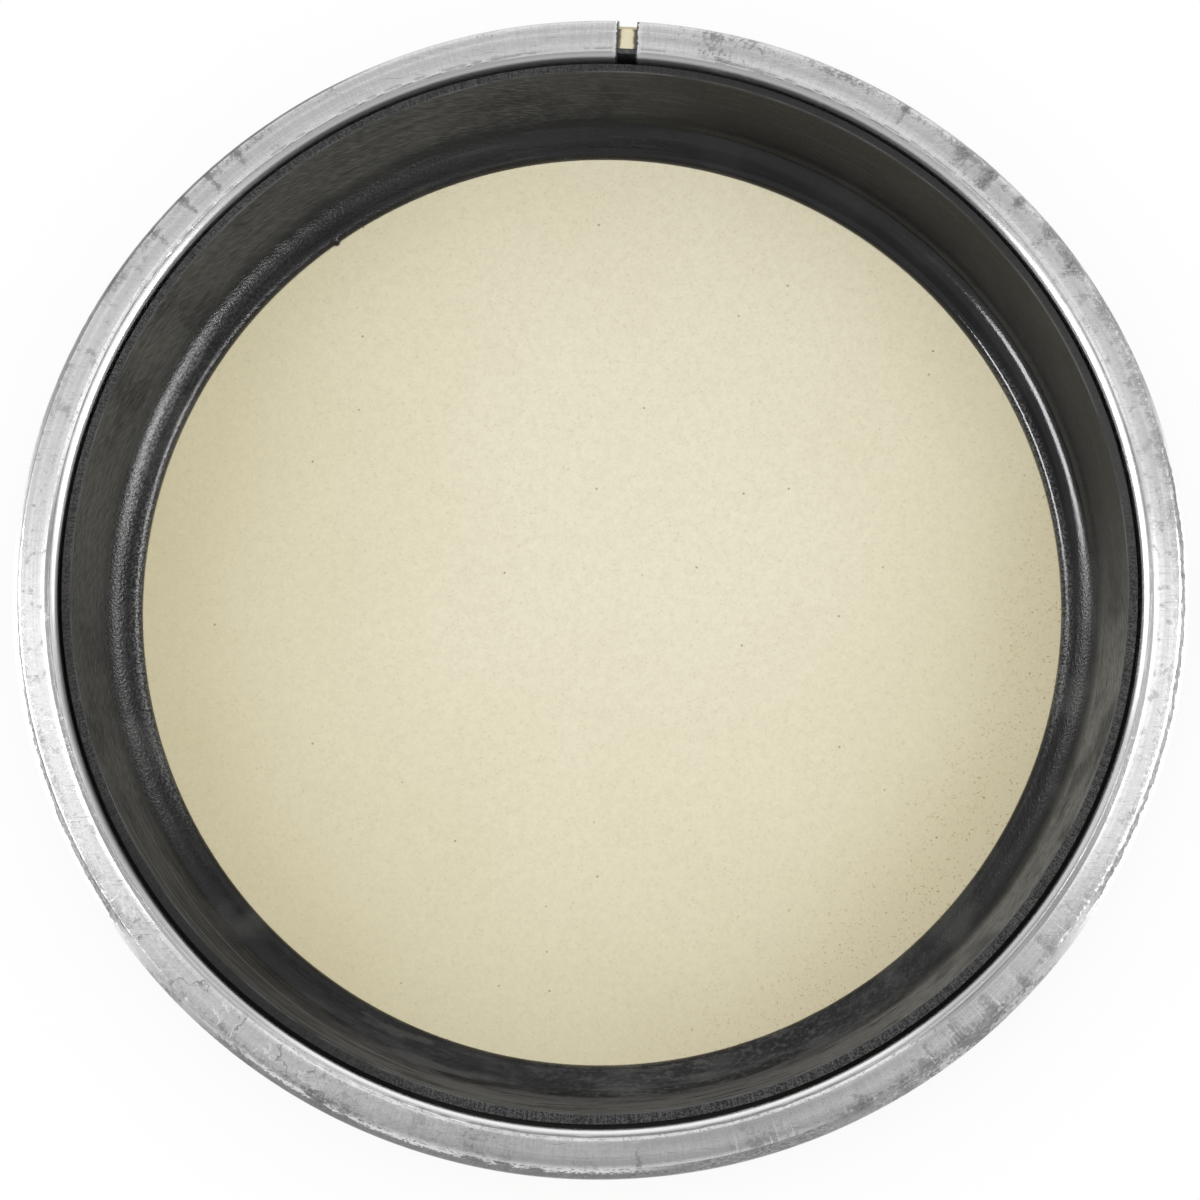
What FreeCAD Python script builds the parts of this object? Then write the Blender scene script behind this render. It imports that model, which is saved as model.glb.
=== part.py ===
import FreeCAD, Part
import os
import Sketcher

# Drum head, lying on its playing face with its hoop up.
# A film is formed over a collar ring and hooked into a split channel hoop, where a strip and resin hold it.
# Origin: centre of the playing face. +Z points out of the open side. Millimetres.

SIZES = [
    # Whole head
    ("head_depth", 28.0),        # playing face to the hoop's web
    ("bond_line", 0.05),         # glue between pieces that are set on each other
    # Channel hoop
    ("hoop_radius", 120.0),      # outside of the straight rim
    ("hoop_width", 9.7),         # inside face to rim
    ("hoop_height", 9.0),
    ("hoop_wall", 1.2),
    ("rim_band", 3.0),           # height of the straight rim
    ("rim_flare", 2.0),          # how far the rim stands out past the web
    ("rim_bend", 3.0),           # outside radius between flare and rim
    ("web_inner_round", 1.2),
    ("web_outer_round", 0.8),
    ("groove_land", 0.1),        # flat between the inner round and the groove
    ("groove_width", 0.5),
    ("groove_depth", 0.3),
    ("gap_width", 3.9),          # opening where the hoop's ends face each other
    ("gap_angle", 3.0),          # degrees from +Y towards +X
    # Collar ring
    ("collar_gap", 0.95),        # between the ring's end and the hoop
    ("collar_sink", 0.2),        # end of the ring below the web
    ("collar_end_drop", 1.4),    # fall of the cut end from its inner to its outer edge
    ("collar_wall", 2.25),       # measured along the radius
    ("collar_lean", 5.0),        # how far the wall comes in from its end to its foot
    ("collar_floor", 2.4),       # thickness of the inward flange
    ("collar_bend", 5.5),        # inside radius between flange and wall
    ("flange_reach", 6.9),       # foot of the inner wall to the lip
    ("lip_round", 2.1),
    # Membrane
    ("film", 0.4),
    ("flare_bend", 1.5),         # under the hoop's inner leg
    ("hook_reach", 4.2),         # width of the edge that is folded out under the web
    # Locking strip and resin
    ("strip_thickness", 1.0),
    ("resin_inset", 1.5),        # resin's free surface inside the channel's open side
]

SAME_PLACE = 1e-4    # an edge this close to a corner of the outline is that corner's edge

doc = FreeCAD.newDocument("drum_head")
sheet = doc.addObject("Spreadsheet::Sheet", "Sizes")
for row, (alias, number) in enumerate(SIZES, start=1):
    sheet.set(f"A{row}", alias)
    sheet.set(f"B{row}", str(number))
    sheet.setAlias(f"B{row}", alias)
doc.recompute()

# Places that several pieces share, as expressions of the sheet
HOOP_INSIDE = "(Sizes.hoop_radius - Sizes.hoop_width)"
WEB_CORNER = "(Sizes.hoop_radius - Sizes.rim_flare)"
WEB_TOP = "Sizes.head_depth"
WEB_UNDERSIDE = "(Sizes.head_depth - Sizes.hoop_wall)"
OPEN_SIDE = "(Sizes.head_depth - Sizes.hoop_height)"
FLARE_FOOT = f"({OPEN_SIDE} + Sizes.rim_band)"
FLARE_SLOPE = "(Sizes.rim_flare / (Sizes.hoop_height - Sizes.rim_band))"
CHANNEL_INSIDE = f"({HOOP_INSIDE} + Sizes.hoop_wall)"
RIM_INSIDE = "(Sizes.hoop_radius - Sizes.hoop_wall)"

COLLAR_TOP = "(Sizes.head_depth - Sizes.collar_sink)"
COLLAR_EDGE = f"({COLLAR_TOP} - Sizes.collar_end_drop)"
COLLAR_MOUTH = f"({HOOP_INSIDE} - Sizes.collar_gap)"
COLLAR_BASE = "(Sizes.film + Sizes.bond_line)"
COLLAR_FLOOR = f"({COLLAR_BASE} + Sizes.collar_floor)"
COLLAR_SLOPE = f"(Sizes.collar_lean / ({COLLAR_TOP} - {COLLAR_BASE}))"
COLLAR_OUTER_BEND = "(Sizes.collar_bend + Sizes.collar_floor)"

SKIRT_INSIDE = f"({CHANNEL_INSIDE} + Sizes.strip_thickness + 2 * Sizes.bond_line)"
SKIRT_OUTSIDE = f"({SKIRT_INSIDE} + Sizes.film)"
RUN_TOP = f"({OPEN_SIDE} - Sizes.bond_line)"
RUN_UNDERSIDE = f"({RUN_TOP} - Sizes.film)"
HOOK_TOP = f"({WEB_UNDERSIDE} - Sizes.bond_line)"
HOOK_UNDERSIDE = f"({HOOK_TOP} - Sizes.film)"


def collar_outside(height):
    """Radius of the collar ring's outer wall at a height."""
    return f"({COLLAR_MOUTH} - {COLLAR_SLOPE} * ({COLLAR_EDGE} - {height}))"


def film_inside(height):
    """Radius of the face of the film that lies on the collar ring's wall."""
    return f"({collar_outside(height)} + Sizes.bond_line)"


def film_outside(height):
    """Radius of the film's outer face on that wall, one film thickness further out."""
    return f"({film_inside(height)} + Sizes.film * sqrt(1 + {COLLAR_SLOPE} ^ 2))"


def rim_inside(height):
    """Radius of the inner face of the hoop's flared leg."""
    return f"({WEB_CORNER} + {FLARE_SLOPE} * ({WEB_TOP} - {height}) - Sizes.hoop_wall)"


def value(expression):
    """Number that an expression of the sheet gives."""
    return float(sheet.evalExpression(expression))


def new_sketch(body, name, plane_role):
    """Sketch on one of the body's own origin planes."""
    sketch = body.newObject("Sketcher::SketchObject", name)
    plane = next(plane for plane in body.Origin.OriginFeatures if plane.Role == plane_role)
    sketch.AttachmentSupport = [(plane, "")]
    sketch.MapMode = "FlatFace"
    return sketch


def draw_outline(sketch, corners):
    """Closed outline of straight lines whose corners are held by expressions."""
    points = [FreeCAD.Vector(value(across), value(up), 0) for across, up in corners]
    for start, end in zip(points, points[1:] + points[:1]):
        sketch.addGeometry(Part.LineSegment(start, end), False)
    for line in range(len(points)):
        following = (line + 1) % len(points)
        sketch.addConstraint(Sketcher.Constraint("Coincident", line, 2, following, 1))
    for line, (across, up) in enumerate(corners):
        hold_corner(sketch, line, "DistanceX", across, vertical_axis=True)
        hold_corner(sketch, line, "DistanceY", up, vertical_axis=False)


def hold_corner(sketch, line, kind, expression, vertical_axis):
    """Holds a line's start on an axis, or at a distance from it that follows the sheet."""
    if expression == "0":
        axis = -2 if vertical_axis else -1
        sketch.addConstraint(Sketcher.Constraint("PointOnObject", line, 1, axis))
        return
    constraint = Sketcher.Constraint(kind, -1, 1, line, 1, value(expression))
    index = sketch.addConstraint(constraint)
    sketch.setExpression(f"Constraints[{index}]", expression)


def turned_body(name, corners):
    """Piece turned about the head's axis from an outline of (radius, height) corners."""
    body = doc.addObject("PartDesign::Body", name)
    body.Label = name
    sketch = new_sketch(body, name + "_outline", "XZ_Plane")
    draw_outline(sketch, corners)
    turned = body.newObject("PartDesign::Revolution", name + "_turned")
    turned.Profile = sketch
    turned.ReferenceAxis = (sketch, ["V_Axis"])
    turned.Angle = 360
    doc.recompute()
    return body


def round_corner(body, corner, radius):
    """Rounds the edge that one corner of the outline turned into."""
    base = body.Tip
    corner_radius = value(corner[0])
    corner_height = value(corner[1])
    names = []
    for number, edge in enumerate(base.Shape.Edges, start=1):
        if not isinstance(edge.Curve, Part.Circle):
            continue
        same_radius = abs(edge.Curve.Radius - corner_radius) < SAME_PLACE
        same_height = abs(edge.Curve.Center.z - corner_height) < SAME_PLACE
        if same_radius and same_height:
            names.append(f"Edge{number}")
    fillet = body.newObject("PartDesign::Fillet", body.Name + "_round")
    fillet.Base = (base, names)
    fillet.setExpression("Radius", radius)
    doc.recompute()


def make_channel_hoop():
    """Channel with its web up, a flared outer leg, a fine groove on the web and a sawn gap."""
    groove_start = f"({HOOP_INSIDE} + Sizes.web_inner_round + Sizes.groove_land)"
    inner_corner = (HOOP_INSIDE, WEB_TOP)
    outer_corner = (WEB_CORNER, WEB_TOP)
    flare_corner = ("Sizes.hoop_radius", FLARE_FOOT)
    body = turned_body("channel_hoop", [
        (HOOP_INSIDE, OPEN_SIDE),
        inner_corner,
        (groove_start, WEB_TOP),
        (f"({groove_start} + Sizes.groove_width / 2)", f"({WEB_TOP} - Sizes.groove_depth)"),
        (f"({groove_start} + Sizes.groove_width)", WEB_TOP),
        outer_corner,
        flare_corner,
        ("Sizes.hoop_radius", OPEN_SIDE),
        (RIM_INSIDE, OPEN_SIDE),
        (RIM_INSIDE, FLARE_FOOT),
        (rim_inside(WEB_UNDERSIDE), WEB_UNDERSIDE),
        (CHANNEL_INSIDE, WEB_UNDERSIDE),
        (CHANNEL_INSIDE, OPEN_SIDE),
    ])
    round_corner(body, inner_corner, "Sizes.web_inner_round")
    round_corner(body, outer_corner, "Sizes.web_outer_round")
    round_corner(body, flare_corner, "Sizes.rim_bend")
    saw_gap(body)
    return body


def saw_gap(body):
    """Cuts the hoop through between two parallel faces."""
    whole_volume = body.Tip.Shape.Volume
    sketch = new_sketch(body, "gap_outline", "XY_Plane")
    clockwise = FreeCAD.Vector(0, 0, -1)
    turn = FreeCAD.Rotation(clockwise, value("Sizes.gap_angle"))
    sketch.AttachmentOffset = FreeCAD.Placement(FreeCAD.Vector(), turn)
    sketch.setExpression("AttachmentOffset.Rotation.Angle", "Sizes.gap_angle")
    points = [
        FreeCAD.Vector(side * value("Sizes.gap_width") / 2, reach, 0)
        for side, reach in ((-1, value(HOOP_INSIDE)), (1, value(HOOP_INSIDE)),
                            (1, value("Sizes.hoop_radius")), (-1, value("Sizes.hoop_radius")))
    ]
    for start, end in zip(points, points[1:] + points[:1]):
        sketch.addGeometry(Part.LineSegment(start, end), False)
    for line in range(4):
        sketch.addConstraint(Sketcher.Constraint("Coincident", line, 2, (line + 1) % 4, 1))
    sketch.addConstraint(Sketcher.Constraint("Vertical", 1))
    sketch.addConstraint(Sketcher.Constraint("Horizontal", 2))
    sketch.addConstraint(Sketcher.Constraint("Vertical", 3))
    sketch.addConstraint(Sketcher.Constraint("Symmetric", 0, 1, 0, 2, -2))
    lengths = (
        ("DistanceX", (0, 1, 0, 2), "Sizes.gap_width"),
        ("DistanceY", (-1, 1, 0, 1), f"({HOOP_INSIDE} - Sizes.hoop_wall)"),
        ("DistanceY", (-1, 1, 2, 1), "(Sizes.hoop_radius + Sizes.hoop_wall)"),
    )
    for kind, ends, expression in lengths:
        index = sketch.addConstraint(Sketcher.Constraint(kind, *ends, value(expression)))
        sketch.setExpression(f"Constraints[{index}]", expression)
    pocket = body.newObject("PartDesign::Pocket", "gap")
    pocket.Profile = sketch
    pocket.Type = "ThroughAll"
    pocket.Reversed = True
    doc.recompute()
    if not body.Tip.Shape.Volume < whole_volume:
        raise RuntimeError("the gap cut nothing from the hoop")


def make_collar_ring():
    """L-section ring: leaning wall, cut end that falls outwards, bend, and flange with a rounded lip."""
    outer_foot = (collar_outside(COLLAR_BASE), COLLAR_BASE)
    inner_foot = (f"({collar_outside(COLLAR_FLOOR)} - Sizes.collar_wall)", COLLAR_FLOOR)
    lip = f"({inner_foot[0]} - Sizes.flange_reach)"
    lip_top = (lip, COLLAR_FLOOR)
    body = turned_body("collar_ring", [
        (lip, COLLAR_BASE),
        outer_foot,
        (COLLAR_MOUTH, COLLAR_EDGE),
        (f"({collar_outside(COLLAR_TOP)} - Sizes.collar_wall)", COLLAR_TOP),
        inner_foot,
        lip_top,
    ])
    round_corner(body, outer_foot, COLLAR_OUTER_BEND)
    round_corner(body, inner_foot, "Sizes.collar_bend")
    round_corner(body, lip_top, "Sizes.lip_round")
    return body


def make_membrane():
    """Film: flat playing face, bend, collar, run out under the hoop's leg, skirt and hooked edge."""
    hook_end = f"({SKIRT_INSIDE} + Sizes.hook_reach)"
    inner_foot = (film_inside("Sizes.film"), "Sizes.film")
    inner_flare = (film_inside(RUN_TOP), RUN_TOP)
    outer_flare = (film_outside(RUN_UNDERSIDE), RUN_UNDERSIDE)
    outer_foot = (film_outside("0"), "0")
    body = turned_body("membrane", [
        ("0", "Sizes.film"),
        inner_foot,
        inner_flare,
        (SKIRT_INSIDE, RUN_TOP),
        (SKIRT_INSIDE, HOOK_TOP),
        (hook_end, HOOK_TOP),
        (hook_end, HOOK_UNDERSIDE),
        (SKIRT_OUTSIDE, HOOK_UNDERSIDE),
        (SKIRT_OUTSIDE, RUN_UNDERSIDE),
        outer_flare,
        outer_foot,
        ("0", "0"),
    ])
    inner_foot_bend = f"({COLLAR_OUTER_BEND} + Sizes.bond_line)"
    round_corner(body, inner_foot, inner_foot_bend)
    round_corner(body, outer_foot, f"({inner_foot_bend} + Sizes.film)")
    round_corner(body, inner_flare, "(Sizes.flare_bend + Sizes.film)")
    round_corner(body, outer_flare, "Sizes.flare_bend")
    return body


def make_locking_strip():
    """Strip wedged between the hoop's inner leg and the film's skirt."""
    inside = f"({CHANNEL_INSIDE} + Sizes.bond_line)"
    outside = f"({inside} + Sizes.strip_thickness)"
    return turned_body("locking_strip", [
        (inside, OPEN_SIDE),
        (outside, OPEN_SIDE),
        (outside, HOOK_TOP),
        (inside, HOOK_TOP),
    ])


def make_resin_fill():
    """Resin cast round the skirt, under its hooked edge and against the flared leg."""
    inside = f"({SKIRT_OUTSIDE} + Sizes.bond_line)"
    top = f"({HOOK_UNDERSIDE} - Sizes.bond_line)"
    surface = f"({OPEN_SIDE} + Sizes.resin_inset)"
    rim = f"({RIM_INSIDE} - Sizes.bond_line)"
    return turned_body("resin_fill", [
        (inside, surface),
        (rim, surface),
        (rim, FLARE_FOOT),
        (f"({rim_inside(top)} - Sizes.bond_line)", top),
        (inside, top),
    ])


bodies = [
    make_channel_hoop(),
    make_collar_ring(),
    make_membrane(),
    make_locking_strip(),
    make_resin_fill(),
]
doc.recompute()

for item in doc.Objects:
    if "Invalid" in item.State or "Error" in item.State:
        raise RuntimeError(f"{item.Label} failed to build: {item.State}")
for body in bodies:
    if body.Shape.isNull() or not body.Shape.isValid():
        raise RuntimeError(f"{body.Label} has no valid shape")

os.makedirs("parts", exist_ok=True)
for body in bodies:
    body.Shape.exportStep(f"parts/{body.Label}.step")
    print(f"{body.Label}: {len(body.Shape.Solids)} solid, {body.Shape.Volume:.0f} mm3")
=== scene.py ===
import cmath
import math

import bpy
import numpy as np
from mathutils import Matrix, Vector


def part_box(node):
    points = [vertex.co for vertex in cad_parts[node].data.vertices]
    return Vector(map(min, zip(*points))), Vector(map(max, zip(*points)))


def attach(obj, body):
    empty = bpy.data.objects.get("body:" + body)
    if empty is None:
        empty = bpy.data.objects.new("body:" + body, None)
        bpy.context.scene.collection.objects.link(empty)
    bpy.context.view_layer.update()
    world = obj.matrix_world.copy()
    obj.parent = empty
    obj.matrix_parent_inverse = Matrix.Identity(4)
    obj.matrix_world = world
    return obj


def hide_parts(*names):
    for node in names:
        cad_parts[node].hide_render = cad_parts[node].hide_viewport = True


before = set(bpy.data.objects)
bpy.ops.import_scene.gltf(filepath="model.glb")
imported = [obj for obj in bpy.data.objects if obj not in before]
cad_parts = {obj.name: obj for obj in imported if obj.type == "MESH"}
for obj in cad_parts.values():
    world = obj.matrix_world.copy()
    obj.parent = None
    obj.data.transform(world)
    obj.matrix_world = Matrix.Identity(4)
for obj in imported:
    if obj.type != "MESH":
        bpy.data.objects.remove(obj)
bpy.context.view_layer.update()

# Drum head seen into its open side: worn aluminium hoop, near-black fibre collar, cream film.
# Outlines are (radius, height, round) corners in millimetres.
# Angles are degrees clockwise from +Y, seen from +Z.

MM = 0.001


def reach(node):
    """Outer radius, lowest and highest place of a node, in millimetres."""
    low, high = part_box(node)
    return high.x / MM, low.z / MM, high.z / MM


hoop_radius, open_side, web_top = reach("channel_hoop")
collar_mouth, collar_base, collar_top = reach("collar_ring")
hook_end, face, hook_top = reach("membrane")
strip_outside, strip_low, strip_high = reach("locking_strip")
resin_outside, resin_low, resin_high = reach("resin_fill")

# Hoop
hoop_width = 9.7
hoop_inside = hoop_radius - hoop_width
hoop_wall = 1.2
rim_band = 3.0
rim_flare = 2.0
rim_bend = 3.0
flare_foot = open_side + rim_band
flare_slope = rim_flare / (web_top - flare_foot)
web_inner_round = 1.2
web_outer_round = 0.8
web_corner = hoop_radius - rim_flare
leg_edge_round = 0.25
gap_angle = 3.0
gap_width = 3.9
gap_side = (math.cos(math.radians(gap_angle)), -math.sin(math.radians(gap_angle)), 0.0)

# Wear of the hoop
groove_from_inside = 1.3
groove_width = 0.5
groove_start = hoop_inside + groove_from_inside
groove_end = groove_start + groove_width
groove_middle = (groove_start + groove_end) / 2
groove_depth = 0.3
groove_wander = 0.05
burr_width = 0.9
web_sink = 0.16
web_wave = 0.03
mark_depth = 0.05
mark_spacing = 3.9
nick_depth = 0.16
rim_wave = 0.06
nick_reach = 0.9
gap_wear_depth = 0.22
gap_wear_change = 0.10
gap_wear_reach = 0.5
gap_smooth_turn = 13
side_groove_fill = 0.87
side_burr_loss = 0.5

# Collar ring
collar_end_drop = 1.4
collar_wall = 2.25
collar_lean = 5.0
collar_slope = collar_lean / (collar_top - collar_base)
collar_floor = 2.4
collar_bend = 5.5
flange_reach = 6.9
lip_round = 2.1
cut_edge_round = 0.15

# Wear of the collar ring
saw_depth = 0.04
saw_sink = 0.05
wall_wave = 0.05
wall_roughness = 0.012
ripple_depth = 0.05
nub_reach = 0.55
nub_angle = 324.3

# Film and strip
film = 0.4
bond_line = 0.05
flare_bend = 1.5
crease = 0.1
strip_thickness = 1.0

# Fineness of the meshes: steps round the axis, longest straight runs, sharp edges, arcs and nearness
HOOP_STEPS = 1800
COLLAR_STEPS = 2160
FILM_STEPS = 720
HOOP_RUN = 0.7
COLLAR_RUN = 0.8
FILM_RUN = 8.0
SHARP_EDGE = math.radians(35)
ARC_STEP = math.radians(7)
NEAR = 0.02


# Outlines

def rounded(corners):
    """Closed outline through (radius, height, round) corners, where a round becomes an arc."""
    points = []
    for index, (across, up, radius) in enumerate(corners):
        corner = complex(across, up)
        if radius == 0:
            points.append(corner)
            continue
        before = complex(*corners[index - 1][:2]) - corner
        after = complex(*corners[(index + 1) % len(corners)][:2]) - corner
        before /= abs(before)
        after /= abs(after)
        half = abs(cmath.phase(after / before)) / 2
        middle = before + after
        start = corner + before * radius / math.tan(half)
        centre = corner + middle / abs(middle) * radius / math.sin(half)
        end = corner + after * radius / math.tan(half)
        turn = cmath.phase((end - centre) / (start - centre))
        count = max(2, math.ceil(abs(turn) / ARC_STEP))
        for step in range(count + 1):
            points.append(centre + (start - centre) * cmath.exp(1j * turn * step / count))
    return points


def spaced(points, longest):
    """Outline with points added so that no straight run is over the longest, in millimetres."""
    filled = []
    for index, start in enumerate(points):
        end = points[(index + 1) % len(points)]
        count = max(1, math.ceil(abs(end - start) / longest))
        filled += [start + (end - start) * step / count for step in range(count)]
    return filled


def collar_outside(height):
    """Radius of the collar's outer wall at a height."""
    return collar_mouth - collar_slope * (collar_top - collar_end_drop - height)


flange_top = collar_base + collar_floor
bend_foot = collar_outside(flange_top) - collar_wall
lip = bend_foot - flange_reach
cut_end_inside = collar_outside(collar_top) - collar_wall


def film_inside(height):
    """Radius of the film's inner face on the collar's wall."""
    return collar_outside(height) + bond_line


def film_outside(height):
    """Radius of the film's outer face on the collar's wall."""
    return film_inside(height) + film * math.hypot(1, collar_slope)


def hoop_outline():
    """Channel with its web up, a fine groove with a raised burr, and a flared outer leg."""
    underside = web_top - hoop_wall
    worn_top = web_top - web_sink
    return [
        (hoop_inside, open_side, leg_edge_round),
        (hoop_inside, web_top, web_inner_round),
        (groove_start, web_top, 0),
        (groove_middle, web_top - groove_depth, 0),
        (groove_end, web_top, 0),
        (groove_end + burr_width, worn_top, 0),
        (web_corner, worn_top, web_outer_round),
        (hoop_radius, flare_foot, rim_bend),
        (hoop_radius, open_side, leg_edge_round),
        (hoop_radius - hoop_wall, open_side, leg_edge_round),
        (hoop_radius - hoop_wall, flare_foot, 0),
        (web_corner + flare_slope * hoop_wall - hoop_wall, underside, 0),
        (hoop_inside + hoop_wall, underside, 0),
        (hoop_inside + hoop_wall, open_side, leg_edge_round),
    ]


def collar_outline():
    """L section: flange with a rounded lip, wide bend, leaning wall, cut end that falls outwards."""
    return [
        (lip, collar_base, 0),
        (lip, flange_top, lip_round),
        (bend_foot, flange_top, collar_bend),
        (cut_end_inside, collar_top, cut_edge_round),
        (collar_mouth, collar_top - collar_end_drop, cut_edge_round),
        (collar_outside(collar_base), collar_base, collar_bend + collar_floor),
    ]


def film_outline():
    """Flat playing face, bend, collar, run out under the hoop's leg, skirt and hooked edge."""
    run_top = open_side - bond_line
    run_underside = run_top - film
    skirt_inside = strip_outside + bond_line
    skirt_outside = skirt_inside + film
    inner_bend = collar_bend + collar_floor + bond_line
    return [
        (0, film, 0),
        (film_inside(film), film, inner_bend),
        (film_inside(run_top), run_top, flare_bend + film),
        (skirt_inside, run_top, crease),
        (skirt_inside, hook_top, crease),
        (hook_end, hook_top, crease),
        (hook_end, hook_top - film, crease),
        (skirt_outside, hook_top - film, crease),
        (skirt_outside, run_underside, crease),
        (film_outside(run_underside), run_underside, flare_bend),
        (film_outside(face), face, inner_bend + film),
        (0, face, 0),
    ]


def strip_outline():
    """Flat strip that wedges the film in the channel."""
    inside = strip_outside - strip_thickness
    return [
        (inside, strip_low, crease),
        (strip_outside, strip_low, crease),
        (strip_outside, strip_high, crease),
        (inside, strip_high, crease),
    ]


def resin_outline():
    """Bead cast round the film's skirt and under its hooked edge."""
    inside = strip_outside + 2 * bond_line + film
    top_outside = resin_outside - flare_slope * (resin_high - flare_foot)
    return [
        (inside, resin_low, 0),
        (resin_outside, resin_low, 0),
        (resin_outside, flare_foot, 0),
        (top_outside, resin_high, 0),
        (inside, resin_high, 0),
    ]


# Unevenness

def uneven(angle, slowest, fastest, seed, waves=14):
    """Wandering value of about -1 to 1 that closes on itself after one turn."""
    random = np.random.RandomState(seed)
    total = np.zeros_like(angle)
    for _ in range(waves):
        rate = random.randint(slowest, fastest + 1)
        total += np.sin(np.radians(angle) * rate + random.uniform(0, 2 * math.pi))
    return total / math.sqrt(waves)


def wavy(angle, slowest, fastest, seed):
    """Wandering value of about 0 to 1."""
    return (1 + uneven(angle, slowest, fastest, seed)) / 2


def hump(value, centre, width):
    """Bell curve of height 1."""
    return np.exp(-((value - centre) / width) ** 2)


def step_up(value, low, high):
    """Smooth step from 0 to 1."""
    share = np.clip((value - low) / (high - low), 0, 1)
    return share * share * (3 - 2 * share)


def crimp_marks(angle):
    """Strength of the crosswise tool marks round the hoop: a lone one, and three uneven runs of them."""
    random = np.random.RandomState(10)
    strength = hump(angle, 176, 0.5)
    for first, count, strongest in ((32.5, 7, 1), (130, 7, 0.7), (309, 4, 1.3)):
        for mark in range(count):
            middle = first + mark * mark_spacing + random.uniform(-0.5, 0.5)
            half_width = random.uniform(0.35, 0.7)
            strength += strongest * random.uniform(0.6, 1) * hump(angle, middle, half_width)
    return strength


def marks_on_web(angle, radius, height):
    """Tool marks that fade out beside the burr and below the outer corner."""
    beside_burr = step_up(radius, groove_end + 0.6, groove_end + 1.8)
    on_web = step_up(height, web_top - 3.5, web_top - 1.5)
    return crimp_marks(angle) * beside_burr * on_web


def worn_sides(angle):
    """1 at the right and at the left, where burr and groove are worn even."""
    return np.minimum(2 * hump(angle, 95, 40) + 2 * hump(angle, 258, 40), 1)


def burr_loss(angle, smooth_end, sides):
    """Share of the burr that is gone: broken all round, nearly whole at the bottom, gone at the gap."""
    broken = np.clip(0.5 + 0.7 * uneven(angle, 20, 260, seed=8), 0, 1)
    broken = broken * (1 - 0.9 * hump(angle, 160, 32))
    loss = np.maximum(broken, smooth_end)
    return loss * (1 - sides) + side_burr_loss * sides


def shape_hoop(angle, radius, height):
    """Wavy web with tool marks, a broken burr, a nicked outer edge, and worn corners at the gap."""
    upper = height > web_top - hoop_wall / 2
    on_top = height > web_top - web_sink - NEAR
    web = on_top & (radius > groove_end + burr_width / 2)
    burr = on_top & (np.abs(radius - groove_end) < NEAR)
    groove = upper & (np.abs(radius - groove_middle) < NEAR)
    turn_from_gap = np.abs((angle - gap_angle + 180) % 360 - 180)
    from_gap = radius * np.radians(turn_from_gap) - gap_width / 2
    smooth_end = hump(turn_from_gap, 0, gap_smooth_turn)
    sides = worn_sides(angle)
    marks = marks_on_web(angle, radius, height)

    height = height - np.where(web, web_wave * wavy(angle, 5, 40, seed=1) + mark_depth * marks, 0)
    height = height - np.where(burr, web_sink * burr_loss(angle, smooth_end, sides), 0)
    filled = np.maximum(smooth_end, side_groove_fill * sides)
    height = height + np.where(groove, groove_depth * filled, 0)
    gap_wear = gap_wear_depth + gap_wear_change * np.sin(3.1 * radius)
    height = height - np.where(upper, gap_wear * hump(from_gap, 0, gap_wear_reach), 0)

    near_burr = np.abs(radius - groove_end) < 0.3
    radius = radius + np.where(near_burr, groove_wander * uneven(angle, 10, 120, seed=9), 0)
    outer_edge = hump(radius, web_corner, nick_reach) * (height > web_top - 1.3)
    nicks = np.clip(uneven(angle, 40, 420, seed=2) - 1, 0, 1)
    radius = radius - nick_depth * outer_edge * nicks
    rim = step_up(radius, web_corner, hoop_radius)
    radius = radius - rim_wave * rim * wavy(angle, 3, 18, seed=3)
    return radius, height, {"marks": marks}


def shape_collar(angle, radius, height):
    """Slightly wavy wall and lip, a nub of flash on the lip, saw marks on the cut end, and a mask for a
    painted highlight on the cut end's inner edge.
    """
    cut_end = (height > collar_top - collar_end_drop - saw_sink) & (radius > cut_end_inside - NEAR)
    worn_edge = hump(radius, cut_end_inside, 0.12) * (height > collar_top - 0.3)
    saw = saw_depth * uneven(angle, 200, 1000, seed=4, waves=40)
    height = np.where(cut_end, np.minimum(height + saw - saw_sink, collar_top), height)

    inside = (height > flange_top - lip_round) & (radius < collar_outside(height) - collar_wall / 2)
    wave = wall_wave * uneven(angle, 2, 9, seed=5)
    wave = wave + wall_roughness * uneven(angle + 2 * height, 20, 90, seed=6)
    rippled = hump(angle, 318, 12) * hump(height, flange_top + 2, 4)
    ripple = ripple_depth * uneven(angle + 0.6 * height, 60, 140, seed=7) * rippled
    nub = nub_reach * hump(angle, nub_angle, 0.4) * hump(radius, lip, 0.8) * (height > collar_base + 0.5)
    radius = radius + np.where(inside, wave + ripple, 0) - nub
    return radius, height, {"cut_end": cut_end.astype(float), "worn_edge": worn_edge}


def plain(angle, radius, height):
    """Shape left as turned."""
    return radius, height, {}


# Meshes

def put(name, data):
    """New object in the scene."""
    thing = bpy.data.objects.new(name, data)
    bpy.context.scene.collection.objects.link(thing)
    return thing


def ring_faces(steps, corners, closed):
    """Faces between neighbouring sections of a ring, and its two end faces where it is open."""
    number = np.arange(steps * corners).reshape(steps, corners)
    if closed:
        number = np.vstack([number, number[:1]])
    here = number[:-1]
    there = number[1:]
    quads = np.stack([here, there, np.roll(there, -1, 1), np.roll(here, -1, 1)], axis=-1)
    faces = quads.reshape(-1, 4).tolist()
    if not closed:
        faces.append(number[0].tolist())
        faces.append(number[-1][::-1].tolist())
    return faces


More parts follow.
